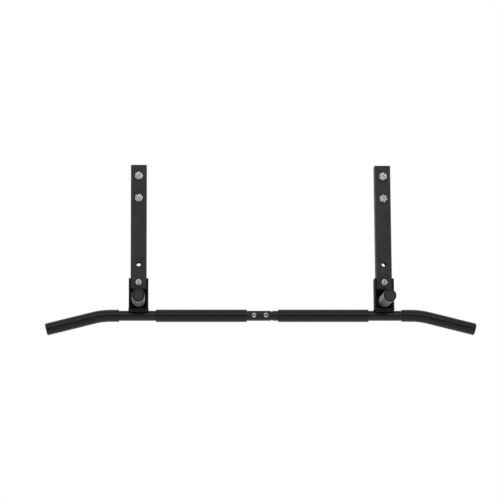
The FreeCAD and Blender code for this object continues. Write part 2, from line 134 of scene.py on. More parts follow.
def hang(piece, name, slot, finish, *nodes):
    """Name a finished piece, give it its material, and hang it in place of its CAD nodes."""
    if bpy.context.object.mode == "EDIT":
        bpy.ops.object.mode_set(mode="OBJECT")
    bpy.ops.object.select_all(action="DESELECT")
    piece.select_set(True)
    bpy.context.view_layer.objects.active = piece
    bpy.ops.object.mode_set(mode="EDIT")
    bpy.ops.mesh.select_all(action="SELECT")
    bpy.ops.mesh.remove_doubles(threshold=1e-6)
    bpy.ops.mesh.normals_make_consistent(inside=False)
    bpy.ops.object.mode_set(mode="OBJECT")
    bpy.ops.object.shade_smooth_by_angle(angle=math.radians(35))
    work(piece, "WEIGHTED_NORMAL", keep_sharp=True)
    piece.name = name
    piece.data.materials.clear()
    piece.data.materials.append(finish)
    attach(piece, "root")
    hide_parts(*nodes)
    return piece


def new_group(name, inputs, outputs):
    """A shader node group with named sockets: (name, type, default)."""
    group = bpy.data.node_groups.new(name, "ShaderNodeTree")
    for title, kind, default in inputs:
        socket = group.interface.new_socket(name=title, in_out="INPUT",
                                            socket_type=f"NodeSocket{kind}")
        socket.default_value = default
    for title, kind in outputs:
        group.interface.new_socket(name=title, in_out="OUTPUT", socket_type=f"NodeSocket{kind}")
    return group, group.nodes.new("NodeGroupInput"), group.nodes.new("NodeGroupOutput")


def add_node(tree, kind, inputs=None, **settings):
    """Add a node, set its properties, and fill or link its inputs by name or number."""
    node = tree.nodes.new(f"ShaderNode{kind}")
    for name, value in settings.items():
        setattr(node, name, value)
    for key, value in (inputs or {}).items():
        if isinstance(value, bpy.types.NodeSocket):
            tree.links.new(value, node.inputs[key])
        else:
            node.inputs[key].default_value = value
    return node


# Orange peel, grain and faint dust on a coated or moulded surface. The cell size is in metres.
peel, given, out = new_group(
    "coated surface",
    [("Color", "Color", (0.03, 0.03, 0.03, 1)), ("Shade", "Float", 0.2), ("Roughness", "Float", 0.4),
     ("Spread", "Float", 0.1), ("Cells per metre", "Float", 700.0), ("Relief", "Float", 0.00004)],
    [("Color", "Color"), ("Roughness", "Float"), ("Normal", "Vector")],
)
place = add_node(peel, "TexCoord").outputs["Object"]
clouds = add_node(peel, "TexNoise", {"Vector": place, "Scale": 22.0, "Detail": 4.0, "Roughness": 0.6})
grain = add_node(peel, "TexNoise", {"Vector": place, "Scale": given.outputs["Cells per metre"],
                                    "Detail": 3.0, "Roughness": 0.65})
specks = add_node(peel, "TexVoronoi", {"Vector": place, "Scale": 950.0, "Randomness": 1.0})
speck = add_node(peel, "MapRange", {"Value": specks.outputs["Distance"], "From Min": 0.05,
                                    "From Max": 0.22, "To Min": 1.0, "To Max": 0.0})
tone = add_node(peel, "MapRange", {"Value": clouds.outputs["Fac"], "From Min": 0.3, "From Max": 0.7,
                                   "To Min": -1.0, "To Max": 1.0})
shift = add_node(peel, "Math", {0: tone.outputs[0], 1: given.outputs["Shade"], 2: 1.0},
                 operation="MULTIPLY_ADD")
fleck = add_node(peel, "Math", {0: speck.outputs[0], 1: given.outputs["Shade"], 2: shift.outputs[0]},
                 operation="MULTIPLY_ADD")
tint = add_node(peel, "VectorMath", {0: given.outputs["Color"], "Scale": fleck.outputs[0]},
                operation="SCALE")
rough = add_node(peel, "Math", {0: tone.outputs[0], 1: given.outputs["Spread"],
                                2: given.outputs["Roughness"]}, operation="MULTIPLY_ADD")
bumps = add_node(peel, "Bump", {"Height": grain.outputs["Fac"], "Distance": given.outputs["Relief"],
                                "Strength": 1.0})
peel.links.new(tint.outputs[0], out.inputs["Color"])
peel.links.new(rough.outputs[0], out.inputs["Roughness"])
peel.links.new(bumps.outputs["Normal"], out.inputs["Normal"])


def coated(name, color, roughness, shade=0.15, spread=0.06, cells=700.0, relief=0.00004, **shader):
    """A coated or moulded black finish over the shared surface group."""
    material = bpy.data.materials.new(name)
    material.use_nodes = True
    tree = material.node_tree
    surface = add_node(tree, "Group", node_tree=peel)
    values = {"Color": (*color, 1), "Shade": shade, "Roughness": roughness, "Spread": spread,
              "Cells per metre": cells, "Relief": relief}
    for title, value in values.items():
        surface.inputs[title].default_value = value
    body = tree.nodes["Principled BSDF"]
    tree.links.new(surface.outputs["Color"], body.inputs["Base Color"])
    tree.links.new(surface.outputs["Roughness"], body.inputs["Roughness"])
    tree.links.new(surface.outputs["Normal"], body.inputs["Normal"])
    for title, value in shader.items():
        body.inputs[title.replace("_", " ")].default_value = value
    return material


powder_coat = coated("powder coat", (0.026, 0.027, 0.029), 0.5, cells=900.0, relief=0.00008, shade=0.25,
                     Specular_IOR_Level=0.35)

bracket_bolt_level = middle("bracket_bolts").z
stud_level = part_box("beam_nuts")[1].z - BEAM_NUT_FLATS / 2
spare_hole = next(mount for mount in frame["record"]["mounts"] if mount["name"] == "left_spare_hole")
spare_hole_level = spare_hole["pos_m"][2]

for side in SIDES:
    low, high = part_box(f"{side}_arm")
    arm = start_block(low, high)
    pick("edges", lambda edge: runs_along(edge, 2))
    bpy.ops.mesh.bevel(offset=ARM_CORNER, segments=7, affect="EDGES")
    pick("faces", lambda face: abs(face.normal.z) > 0.9)
    bpy.ops.mesh.delete(type="ONLY_FACE")
    work(arm, "SOLIDIFY", thickness=ARM_WALL, offset=-1)
    for level in (stud_level, -stud_level, spare_hole_level):
        drill_through(arm, middle(f"{side}_arm").x, level, BEAM_HOLE)
    drill_through(arm, middle(f"{side}_arm").x, bracket_bolt_level, BRACKET_HOLE)
    soften(arm)
    hang(arm, f"{side}_arm_tube", "black_paint", powder_coat, f"{side}_arm")


# ---- Arm caps ------------------------------------------------------------------------------
# A moulded plastic plug closes the top of each arm. Its lid has a rolled rim and a low crown,
# and a hollow box under it grips the inside of the tube.
CAP_LID = 0.003
CAP_EDGE = 0.0012
CAP_WALL = 0.002
CAP_FIT = 0.0002
CAP_FLOOR = 0.001
CAP_SOFT_EDGE = 0.0003

cap_plastic = coated("cap plastic", (0.024, 0.024, 0.024), 0.5, cells=1600.0, relief=0.00003)

for side in SIDES:
    low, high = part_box(f"{side}_arm_cap")
    lid_low = Vector((low.x, low.y, high.z - CAP_LID))
    cap = start_block(lid_low, high)
    pick("edges", lambda edge: runs_along(edge, 2))
    bpy.ops.mesh.bevel(offset=ARM_CORNER, segments=7, affect="EDGES")
    pick("faces", lambda face: face.normal.z > 0.9)
    bpy.ops.mesh.bevel(offset=CAP_EDGE, segments=4, affect="EDGES")
    pick("faces", lambda face: face.normal.z < -0.9)
    bpy.ops.mesh.inset(thickness=ARM_WALL + CAP_FIT)
    bpy.ops.mesh.extrude_region_move(TRANSFORM_OT_translate={"value": (0, 0, low.z - lid_low.z)})
    bpy.ops.mesh.inset(thickness=CAP_WALL)
    bpy.ops.mesh.extrude_region_move(TRANSFORM_OT_translate={"value": (0, 0, lid_low.z - low.z - CAP_FLOOR)})
    soften(cap, CAP_SOFT_EDGE)
    hang(cap, f"{side}_arm_top_cap", "cap_plastic", cap_plastic, f"{side}_arm_cap")


# ---- Brackets ------------------------------------------------------------------------------
# Each bracket is a 4 mm steel channel, bent round the arm's foot and open to the front. It
# stands on a base plate, and MIG beads join channel to plate and plate to bar.
PLATE = 0.004
BEND_OUTSIDE = 0.005
CHANNEL_SOFT_EDGE = 0.0005
BASE_CORNER = 0.0025
BASE_SOFT_EDGE = 0.0006

bracket_coat = coated("bracket coat", (0.012, 0.012, 0.012), 0.75, cells=800.0, relief=0.00006,
                      Specular_IOR_Level=0.3)

for side in SIDES:
    low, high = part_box(f"{side}_bracket")
    channel = start_block(low, high)
    pick("faces", lambda face: abs(face.normal.z) > 0.9 or face.normal.y < -0.9)
    bpy.ops.mesh.delete(type="ONLY_FACE")
    pick("edges", lambda edge: runs_along(edge, 2) and edge.verts[0].co.y > high.y - 1e-5)
    bpy.ops.mesh.bevel(offset=BEND_OUTSIDE, segments=7, affect="EDGES")
    work(channel, "SOLIDIFY", thickness=PLATE, offset=-1)
    drill_through(channel, middle(f"{side}_bracket").x, bracket_bolt_level, BRACKET_HOLE)
    soften(channel, CHANNEL_SOFT_EDGE, 3)
    hang(channel, f"{side}_bracket_channel", "black_paint", bracket_coat, f"{side}_bracket")

    low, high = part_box(f"{side}_bracket_base")
    base = start_block(low, high)
    pick("edges", lambda edge: runs_along(edge, 2))
    bpy.ops.mesh.bevel(offset=BASE_CORNER, segments=5, affect="EDGES")
    soften(base, BASE_SOFT_EDGE, 3)
    hang(base, f"{side}_bracket_plate", "black_paint", bracket_coat, f"{side}_bracket_base")


# ---- Weld beads ----------------------------------------------------------------------------
# A bead is a row of overlapping puddles of weld metal, under the same black coat. They run along
# the channel's two feet, before and behind the bar, and round each handle.
BEAD_STEP = 0.0017
BEAD_VOXEL = 0.00035
FOOT_PUDDLE = (0.0010, 0.0015, 0.0011)
FOOT_BEAD_START = 0.002
FOOT_BEAD_SHORTER = 0.008
BAR_PUDDLE = (0.0016, 0.0026, 0.0021)
BAR_BEAD = 0.039
BAR_BEAD_OFFSET = 0.0068
BAR_BEAD_DROP = 0.0016
RING_PUDDLE = (0.0030, 0.0030, 0.0017)
RING_PUDDLES = 48
RING_OFFSET = 0.0008

weld_coat = coated("coated weld", (0.014, 0.014, 0.015), 0.34, cells=700.0, relief=0.00008)


def puddle(place, size):
    """One frozen puddle of weld metal."""
    return start_piece("uv_sphere", segments=16, ring_count=8, radius=1, location=place, scale=size)


def straight_bead(start, along, size, length):
    """A row of puddles from a start point."""
    bead = puddle(start, size)
    count = round(length / BEAD_STEP)
    work(bead, "ARRAY", count=count, use_relative_offset=False, use_constant_offset=True,
         constant_offset_displace=along * (length / (count - 1)))
    return bead


def join(pieces):
    """Join pieces into the first of them."""
    bpy.ops.object.select_all(action="DESELECT")
    for piece in pieces:
        piece.select_set(True)
    bpy.context.view_layer.objects.active = pieces[0]
    bpy.ops.object.join()
    return pieces[0]


def melt_together(bead):
    """Run a bead's puddles into one skin."""
    work(bead, "REMESH", mode="VOXEL", voxel_size=BEAD_VOXEL)
    work(bead, "SMOOTH", factor=0.5, iterations=2)


for side in SIDES:
    low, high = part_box(f"{side}_bracket")
    beads = []
    for x in (low.x, high.x):
        beads.append(straight_bead(Vector((x, low.y + FOOT_BEAD_START, low.z)), Vector((0, 1, 0)),
                                   FOOT_PUDDLE, high.y - low.y - FOOT_BEAD_SHORTER))
    start_x = middle(f"{side}_bracket").x - BAR_BEAD / 2
    bar_y = middle(f"{side}_centre_grip").y
    start_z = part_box(f"{side}_bracket_base")[0].z - BAR_BEAD_DROP
    for way in (-1, 1):
        beads.append(straight_bead(Vector((start_x, bar_y + way * BAR_BEAD_OFFSET, start_z)),
                                   Vector((1, 0, 0)), BAR_PUDDLE, BAR_BEAD))
    weld = join(beads)
    melt_together(weld)
    hang(weld, f"{side}_bracket_beads", "weld_paint", weld_coat, f"{side}_bracket_welds")

    low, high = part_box(f"{side}_handle_weld")
    centre = (low + high) / 2
    tube_low, tube_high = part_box(f"{side}_handle_tube")
    tube_radius = (tube_high.x - tube_low.x) / 2
    ring = puddle((centre.x + tube_radius + RING_OFFSET, high.y - RING_OFFSET, centre.z), RING_PUDDLE)
    bpy.ops.object.mode_set(mode="EDIT")
    bpy.ops.mesh.select_all(action="SELECT")
    bpy.ops.mesh.spin(steps=RING_PUDDLES - 1, dupli=True, angle=math.tau * (RING_PUDDLES - 1) / RING_PUDDLES,
                      center=(centre.x, high.y, centre.z), axis=(0, 1, 0), use_auto_merge=False)
    bpy.ops.object.mode_set(mode="OBJECT")
    melt_together(ring)
    hang(ring, f"{side}_handle_bead", "weld_paint", weld_coat, f"{side}_handle_weld")


# ---- Bar tubes -----------------------------------------------------------------------------
# The bar is two steel tubes, each bent down near its outer end. The right one is swaged to a
# spigot that slides into the left one, and two bolts pin them.
TUBE = 0.025
TUBE_WALL = 0.002
BEND_PLACE = 0.395
BEND_RADIUS = 0.18
BEND_ANGLE = math.radians(14)
END_RUN = 0.139
NECK_LENGTH = 0.006
NECK_EDGE = 0.0012
SPIGOT = 0.0208
SPIGOT_AND_NECK = 0.066
JOINT_HOLE = 0.0065

bar_coat = coated("bar coat", (0.008, 0.008, 0.008), 0.24, cells=500.0, relief=0.00003,
                  Specular_IOR_Level=0.35)

bar_axis = Vector((0, middle("left_centre_grip").y, middle("left_centre_grip").z))
bend_tangent = BEND_RADIUS * math.tan(BEND_ANGLE / 2)
bolts_low, bolts_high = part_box("joint_bolts")
head_radius = (middle("joint_bolts").z - bolts_low.z) / math.cos(math.radians(30))
joint_places = (bolts_low.x + head_radius, bolts_high.x - head_radius)


def hoop(x, radius, vertices=64):
    """An open circle that faces along the bar."""
    return start_piece("circle", vertices=vertices, radius=radius, fill_type="NOTHING",
                       location=(x, bar_axis.y, bar_axis.z), rotation=(0, math.pi / 2, 0))


def draw_out(value):
    """Extrude the picked hoop along a straight run."""
    bpy.ops.mesh.extrude_region_move(TRANSFORM_OT_translate={"value": value})


def bend_down(side, run_after):
    """Bend the picked hoop down round the bar's bend, then draw it out straight."""
    way = SIDES[side]
    bpy.ops.mesh.spin(steps=14, angle=-BEND_ANGLE, axis=(0, way, 0),
                      center=(way * (BEND_PLACE - bend_tangent), bar_axis.y, bar_axis.z - BEND_RADIUS))
    run = run_after - bend_tangent
    draw_out((way * run * math.cos(BEND_ANGLE), 0, -run * math.sin(BEND_ANGLE)))


def grow(radius, new_radius, x):
    """Scale the picked hoop from one radius to another."""
    factor = new_radius / radius
    bpy.ops.transform.resize(value=(1, factor, factor), center_override=(x, bar_axis.y, bar_axis.z))


left_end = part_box("left_bar_tube")[1].x
left_tube = hoop(left_end, TUBE / 2)
bpy.ops.object.mode_set(mode="EDIT")
bpy.ops.mesh.select_all(action="SELECT")
draw_out((-(BEND_PLACE - bend_tangent) - left_end, 0, 0))
bend_down("left", END_RUN)
bpy.ops.object.mode_set(mode="OBJECT")

spigot_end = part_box("right_bar_tube")[0].x
neck_end = spigot_end + SPIGOT_AND_NECK
right_tube = hoop(spigot_end, SPIGOT / 2)
bpy.ops.object.mode_set(mode="EDIT")
bpy.ops.mesh.select_all(action="SELECT")
draw_out((neck_end - NECK_LENGTH - spigot_end, 0, 0))
draw_out((NECK_LENGTH, 0, 0))
grow(SPIGOT, TUBE, neck_end)
draw_out((BEND_PLACE - bend_tangent - neck_end, 0, 0))
bend_down("right", END_RUN)
pick("edges", lambda edge: all(
    neck_end - NECK_LENGTH - 1e-5 < vert.co.x < neck_end + 1e-5 for vert in edge.verts)
    and not runs_along(edge, 0) and abs(edge.verts[0].co.x - edge.verts[1].co.x) < 1e-6)
bpy.ops.mesh.bevel(offset=NECK_EDGE, segments=4, affect="EDGES")
bpy.ops.object.mode_set(mode="OBJECT")

for side, tube in (("left", left_tube), ("right", right_tube)):
    bpy.ops.object.select_all(action="DESELECT")
    tube.select_set(True)
    bpy.context.view_layer.objects.active = tube
    bpy.ops.object.mode_set(mode="EDIT")
    bpy.ops.mesh.select_all(action="SELECT")
    bpy.ops.mesh.normals_make_consistent(inside=False)
    bpy.ops.object.mode_set(mode="OBJECT")
    work(tube, "SOLIDIFY", thickness=TUBE_WALL, offset=-1)
    for x in joint_places:
        drill_through(tube, x, bar_axis.z, JOINT_HOLE)
    soften(tube)
    hang(tube, f"{side}_bar", "bar_paint", bar_coat, f"{side}_bar_tube")


# ---- Foam grips ----------------------------------------------------------------------------
# Closed-cell foam sleeves, pushed on to the tubes: one each side of the centre, one over each
# bent end. They are black, with a close smooth skin, fine pores and slightly rounded ends.
FOAM_EDGE = 0.0012
FOAM_RINGS = 24
FOAM_OVERHANG = 0.002

foam, given, out = new_group(
    "foam skin",
    [("Color", "Color", (0.018, 0.018, 0.018, 1)), ("Roughness", "Float", 0.5),
     ("Cells per metre", "Float", 1100.0), ("Relief", "Float", 0.00025)],
    [("Color", "Color"), ("Roughness", "Float"), ("Normal", "Vector")],
)
place = add_node(foam, "TexCoord").outputs["Object"]
cells = add_node(foam, "TexVoronoi", {"Vector": place, "Scale": given.outputs["Cells per metre"]})
lumps = add_node(foam, "TexNoise", {"Vector": place, "Scale": 60.0, "Detail": 5.0, "Roughness": 0.6})
pores = add_node(foam, "MapRange", {"Value": cells.outputs["Distance"], "From Min": 0.0, "From Max": 0.5,
                                    "To Min": 0.0, "To Max": 1.0})
level = add_node(foam, "Math", {0: pores.outputs[0], 1: 0.5, 2: 0.75}, operation="MULTIPLY_ADD")
worn = add_node(foam, "Math", {0: lumps.outputs["Fac"], 1: 0.5, 2: -0.25}, operation="MULTIPLY_ADD")
both = add_node(foam, "Math", {0: level.outputs[0], 1: worn.outputs[0]}, operation="ADD")
tint = add_node(foam, "VectorMath", {0: given.outputs["Color"], "Scale": both.outputs[0]},
                operation="SCALE")
rough = add_node(foam, "Math", {0: lumps.outputs["Fac"], 1: 0.2, 2: given.outputs["Roughness"]},
                 operation="MULTIPLY_ADD")
fine = add_node(foam, "Bump", {"Height": pores.outputs[0], "Distance": given.outputs["Relief"],
                               "Strength": 0.6})
soft = add_node(foam, "Bump", {"Height": lumps.outputs["Fac"], "Distance": 0.0006, "Strength": 0.5,
                               "Normal": fine.outputs["Normal"]})
foam.links.new(tint.outputs[0], out.inputs["Color"])
foam.links.new(rough.outputs[0], out.inputs["Roughness"])
foam.links.new(soft.outputs["Normal"], out.inputs["Normal"])


def foam_skin(name, color, roughness, cells, relief, **shader):
    """A foam finish over the shared skin group."""
    material = bpy.data.materials.new(name)
    material.use_nodes = True
    tree = material.node_tree
    surface = add_node(tree, "Group", node_tree=foam)
    surface.inputs["Color"].default_value = (*color, 1)
    surface.inputs["Roughness"].default_value = roughness
    surface.inputs["Cells per metre"].default_value = cells
    surface.inputs["Relief"].default_value = relief
    body = tree.nodes["Principled BSDF"]
    tree.links.new(surface.outputs["Color"], body.inputs["Base Color"])
    tree.links.new(surface.outputs["Roughness"], body.inputs["Roughness"])
    tree.links.new(surface.outputs["Normal"], body.inputs["Normal"])
    for title, value in shader.items():
        body.inputs[title.replace("_", " ")].default_value = value
    return material


grip_foam = foam_skin("grip foam", (0.004, 0.004, 0.004), 0.2, 1100.0, 0.0001, Specular_IOR_Level=0.3)


def sleeve_walls(sleeve, wall):
    """Give an open sleeve its wall, and round its cut ends."""
    bpy.ops.object.mode_set(mode="EDIT")
    bpy.ops.mesh.select_all(action="SELECT")
    bpy.ops.mesh.normals_make_consistent(inside=False)
    bpy.ops.object.mode_set(mode="OBJECT")
    work(sleeve, "SOLIDIFY", thickness=wall, offset=-1)
    work(sleeve, "BEVEL", width=FOAM_EDGE, segments=4, limit_method="ANGLE",
         angle_limit=math.radians(50), use_clamp_overlap=True)


for side, way in SIDES.items():
    low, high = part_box(f"{side}_centre_grip")
    radius = (high.z - low.z) / 2
    grip = hoop(low.x, radius)
    bpy.ops.object.mode_set(mode="EDIT")
    bpy.ops.mesh.select_all(action="SELECT")
    for ring in range(FOAM_RINGS):
        draw_out(((high.x - low.x) / FOAM_RINGS, 0, 0))
    sleeve_walls(grip, radius - TUBE / 2)
    hang(grip, f"{side}_centre_foam", "grip_foam", grip_foam, f"{side}_centre_grip")

    low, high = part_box(f"{side}_end_grip")
    radius = (high.y - low.y) / 2
    start = high.x if side == "left" else low.x
    grip = hoop(start, radius)
    bpy.ops.object.mode_set(mode="EDIT")
    bpy.ops.mesh.select_all(action="SELECT")
    draw_out((way * (BEND_PLACE - bend_tangent) - start, 0, 0))
    bend_down(side, END_RUN + FOAM_OVERHANG)
    sleeve_walls(grip, radius - TUBE / 2)
    hang(grip, f"{side}_end_foam", "grip_foam", grip_foam, f"{side}_end_grip")


# ---- Neutral handles -----------------------------------------------------------------------
# A short tube is welded to each bracket's back plate and points to the user. Its foam sleeve has
# a smooth skin, which shines where light skims along it, and a dull cut end, painted darker still
# as painted shade for the shaded ring round the plug.
SHOULDER = 0.0012

handle_skin = foam_skin("skinned foam", (0.028, 0.028, 0.028), 0.34, 1500.0, 0.00004, IOR=2.0)
# The cut ends' foam is duller, and its near-black colour also paints the shade in the ring round the plug.
cut_foam_and_painted_shade = foam_skin("cut foam", (0.0012, 0.0012, 0.0012), 0.9, 1500.0, 0.0001,
                     Specular_IOR_Level=0.02)


def straight_sleeve(node, radius, wall):
    """An open round pipe along the depth of a CAD node's box."""
    low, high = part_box(node)
    sleeve = start_piece("cylinder", vertices=64, radius=radius, depth=high.y - low.y,
                         end_fill_type="NOTHING", location=(low + high) / 2, rotation=(math.pi / 2, 0, 0))
    work(sleeve, "SOLIDIFY", thickness=wall, offset=-1)
    return sleeve


for side in SIDES:
    root = straight_sleeve(f"{side}_handle_tube", TUBE / 2, TUBE_WALL)
    soften(root)
    hang(root, f"{side}_handle_pipe", "bar_paint", bar_coat, f"{side}_handle_tube")

    low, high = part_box(f"{side}_handle_grip")
    centre = (low + high) / 2
    radius = (high.z - low.z) / 2
    grip = straight_sleeve(f"{side}_handle_grip", radius, radius - TUBE / 2)
    pick("edges", lambda edge: not runs_along(edge, 1) and all(
        math.hypot(vert.co.x - centre.x, vert.co.z - centre.z) > radius - 1e-5 for vert in edge.verts))
    bpy.ops.mesh.bevel(offset=SHOULDER, segments=6, affect="EDGES")
    bpy.ops.object.mode_set(mode="OBJECT")
    hang(grip, f"{side}_handle_foam", "grip_vinyl", handle_skin, f"{side}_handle_grip")
    # The end faces take the near-black cut foam, partly painted shade.
    grip.data.materials.append(cut_foam_and_painted_shade)
    pick("faces", lambda face: abs(face.normal.y) > 0.97)
    grip.active_material_index = 1
    bpy.ops.object.material_slot_assign()
    bpy.ops.object.mode_set(mode="OBJECT")


# ---- Tube plugs ----------------------------------------------------------------------------
# Round plastic plugs close the bar's and the handles' ends: a lid with a rolled rim and a low
# dish, on a hollow stem that grips the tube's bore.
LID = 0.003
LID_RIM = 0.0018
LID_DISH = 0.0004
LID_DISH_SLOPE = 0.0006
LID_SOFT_EDGE = 0.0006
STEM = 0.018
STEM_FIT = 0.0002
STEM_WALL = 0.0016
STEM_HOLLOW = 0.016


def tube_plug(name, node, centre, turn):
    """Model a plug upright at the origin, then turn it and set it in its tube's end."""
    plug = start_piece("cylinder", vertices=64, radius=TUBE / 2, depth=LID, location=(0, 0, LID / 2))
    pick("faces", lambda face: face.normal.z > 0.9)
    bpy.ops.mesh.inset(thickness=LID_RIM)
    bpy.ops.transform.translate(value=(0, 0, -LID_DISH))
    bpy.ops.mesh.inset(thickness=LID_DISH_SLOPE)
    pick("faces", lambda face: face.normal.z < -0.9)
    bpy.ops.mesh.inset(thickness=TUBE_WALL + STEM_FIT)
    bpy.ops.mesh.extrude_region_move(TRANSFORM_OT_translate={"value": (0, 0, -STEM)})
    bpy.ops.mesh.inset(thickness=STEM_WALL)
    bpy.ops.mesh.extrude_region_move(TRANSFORM_OT_translate={"value": (0, 0, STEM_HOLLOW)})
    soften(plug, LID_SOFT_EDGE, 3)
    plug.rotation_euler = turn
    plug.location = centre
    bpy.ops.object.select_all(action="DESELECT")
    plug.select_set(True)
    bpy.ops.object.transform_apply(location=True, rotation=True, scale=True)
    hang(plug, name, "cap_plastic", cap_plastic, node)


for side, way in SIDES.items():
    handle = middle(f"{side}_handle_tube")
    handle.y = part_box(f"{side}_handle_tube")[0].y
    tube_plug(f"{side}_handle_lid", f"{side}_handle_plug", handle, (math.pi / 2, 0, 0))
    end = Vector((way * (BEND_PLACE + END_RUN * math.cos(BEND_ANGLE)), bar_axis.y,
                  bar_axis.z - END_RUN * math.sin(BEND_ANGLE)))
    tube_plug(f"{side}_bar_lid", f"{side}_bar_end_plug", end, (0, way * (math.pi / 2 + BEND_ANGLE), 0))


# ---- Beam fasteners ------------------------------------------------------------------------
# Four hanger bolts hold the arms to the beam. Each has a coarse wood thread with a point, which
# turns into the beam, and a machine thread that takes a flat washer and a nut. All are bright
# zinc plate; the washers' zinc is painted dark, as painted shade for the shade they sit in.
STUD = 0.010
STUD_PITCH = 0.0015
WOOD_PITCH = 0.0038
WOOD_ROOT = 0.0034
WOOD_CREST = 0.0047
WOOD_TAPER = -0.85
WOOD_POINT = 0.012
THREAD_ROOT = 0.415
STUD_CHAMFER = 0.0009
NUT_PLAY = 0.0001
NUT_COUNTERSINK = 0.0012
NUT_SOFT_EDGE = 0.0004
SMALL_SOFT_EDGE = 0.0003
BEAM_WASHER_HOLE = 0.0106
CLEAR = 0.001  # how far a cutter runs past the metal

zinc, given, out = new_group(
    "zinc plate",
    [("Color", "Color", (0.6, 0.6, 0.62, 1)), ("Roughness", "Float", 0.3)],
    [("Color", "Color"), ("Roughness", "Float"), ("Normal", "Vector")],
)
place = add_node(zinc, "TexCoord").outputs["Object"]
bloom = add_node(zinc, "TexNoise", {"Vector": place, "Scale": 180.0, "Detail": 4.0, "Roughness": 0.6})
grit = add_node(zinc, "TexNoise", {"Vector": place, "Scale": 2600.0, "Detail": 2.0, "Roughness": 0.7})
cloudy = add_node(zinc, "MapRange", {"Value": bloom.outputs["Fac"], "From Min": 0.3, "From Max": 0.7,
                                     "To Min": 0.72, "To Max": 1.15})
tint = add_node(zinc, "VectorMath", {0: given.outputs["Color"], "Scale": cloudy.outputs[0]},
                operation="SCALE")
uneven = add_node(zinc, "Math", {0: bloom.outputs["Fac"], 1: 0.3, 2: -0.15}, operation="MULTIPLY_ADD")
rough = add_node(zinc, "Math", {0: uneven.outputs[0], 1: given.outputs["Roughness"]}, operation="ADD")
bumps = add_node(zinc, "Bump", {"Height": grit.outputs["Fac"], "Distance": 0.00003, "Strength": 1.0})
zinc.links.new(tint.outputs[0], out.inputs["Color"])
zinc.links.new(rough.outputs[0], out.inputs["Roughness"])
zinc.links.new(bumps.outputs["Normal"], out.inputs["Normal"])


def plated(name, color, roughness):
    """A metal finish over the shared zinc group."""
    material = bpy.data.materials.new(name)
    material.use_nodes = True
    tree = material.node_tree
    surface = add_node(tree, "Group", node_tree=zinc)
    surface.inputs["Color"].default_value = (*color, 1)
    surface.inputs["Roughness"].default_value = roughness
    body = tree.nodes["Principled BSDF"]
    body.inputs["Metallic"].default_value = 1.0
    tree.links.new(surface.outputs["Color"], body.inputs["Base Color"])
    tree.links.new(surface.outputs["Roughness"], body.inputs["Roughness"])
    tree.links.new(surface.outputs["Normal"], body.inputs["Normal"])
    return material


bright_zinc = plated("bright zinc", (0.92, 0.95, 0.97), 0.28)
# The washers' zinc: the same bright plate as the nuts, with its colour darkened as painted shade.
zinc_in_painted_shade = plated("dull zinc", (0.16, 0.16, 0.17), 0.5)


def turned_blank(radius, low, high, depth, shrink, both=True):
    """A round bar on Z whose ends are chamfered: depth along the bar, shrink across it."""
    blank = start_piece("cylinder", vertices=60, radius=radius, depth=high - low - depth * (1 + both),
                        location=(0, 0, (low + high + depth * (both - 1)) / 2))
    factor = 1 - shrink / radius
    for way in ((1, -1) if both else (1,)):
        pick("faces", lambda face: face.normal.z * way > 0.9)
        bpy.ops.mesh.extrude_region_move(TRANSFORM_OT_translate={"value": (0, 0, way * depth)})
        bpy.ops.transform.resize(value=(factor, factor, 1), center_override=(0, 0, 0))
    bpy.ops.object.mode_set(mode="OBJECT")
    return blank


def wind_thread(root, crest, pitch, low, high):
    """Wind a thread up Z, and cut it off flat at both ends."""
    thread = start_piece("plane", size=pitch)
    pick("verts", lambda vert: True)
    bpy.ops.mesh.merge(type="CENTER")
    bpy.ops.transform.translate(value=(root, 0, low - 1.5 * pitch))
    for out_by, up_by in ((0, 0.1), (1, 0.35), (0, 0.1), (-1, 0.35), (0, 0.1)):
        rise = (out_by * (crest - root), 0, up_by * pitch)
        bpy.ops.mesh.extrude_region_move(TRANSFORM_OT_translate={"value": rise})
    work(thread, "SCREW", axis="Z", screw_offset=pitch, iterations=math.ceil((high - low) / pitch) + 3,
         steps=24, render_steps=24)
    pick("verts", lambda vert: True)
    bpy.ops.mesh.remove_doubles(threshold=pitch * 0.02)
    bpy.ops.mesh.normals_make_consistent(inside=False)
    for level, waste in ((low, "clear_inner"), (high, "clear_outer")):
        bpy.ops.mesh.select_all(action="SELECT")
        bpy.ops.mesh.bisect(plane_co=(0, 0, level), plane_no=(0, 0, 1), threshold=1e-7, **{waste: True})
        pick("edges", lambda edge: edge.is_boundary and abs(edge.verts[0].co.z - level) < 1e-6)
        bpy.ops.mesh.edge_face_add()
    bpy.ops.mesh.select_all(action="SELECT")
    bpy.ops.mesh.normals_make_consistent(inside=False)
    bpy.ops.object.mode_set(mode="OBJECT")
    return thread


def hexagon_blank(flats, low, high, both=True):
    """A hexagon bar on Z, turned at its ends so that its corners are cut back at 30 degrees."""
    corner = flats / 2 / math.cos(math.radians(30))
    shrink = corner - flats * 0.475
    bar = start_piece("cylinder", vertices=6, radius=corner, depth=high - low,
                      location=(0, 0, (low + high) / 2))
    turned = turned_blank(corner * 1.001, low, high, shrink * math.tan(math.radians(30)), shrink, both)
    carve(bar, turned, "INTERSECT")
    return bar


def bore_out(piece, radius, low, high):
    """Cut a round hole on Z."""
    bit = start_piece("cylinder", vertices=48, radius=radius, depth=high - low,
                      location=(0, 0, (low + high) / 2))
    carve(piece, bit)


def countersink(piece, radius, level):
    """Open the mouth of a hole on Z with a 45 degree cone."""
    cone = start_piece("cone", vertices=48, radius1=0, radius2=radius, depth=radius,
                       location=(0, 0, level - radius / 2))
    carve(piece, cone)


def set_out(piece, places, turns):
    """Copy an upright piece to each place, facing the user and turned on its own axis, as one."""
    twins = []
    for place, turn in zip(places, turns):
        twin = piece.copy()
        twin.data = piece.data.copy()
        bpy.context.scene.collection.objects.link(twin)
        twin.location = place
        twin.rotation_euler = (math.pi / 2, math.radians(turn), 0)
        twins.append(twin)
    bpy.data.objects.remove(piece)
    group = join(twins)
    bpy.ops.object.transform_apply(location=True, rotation=True, scale=True)
    return group


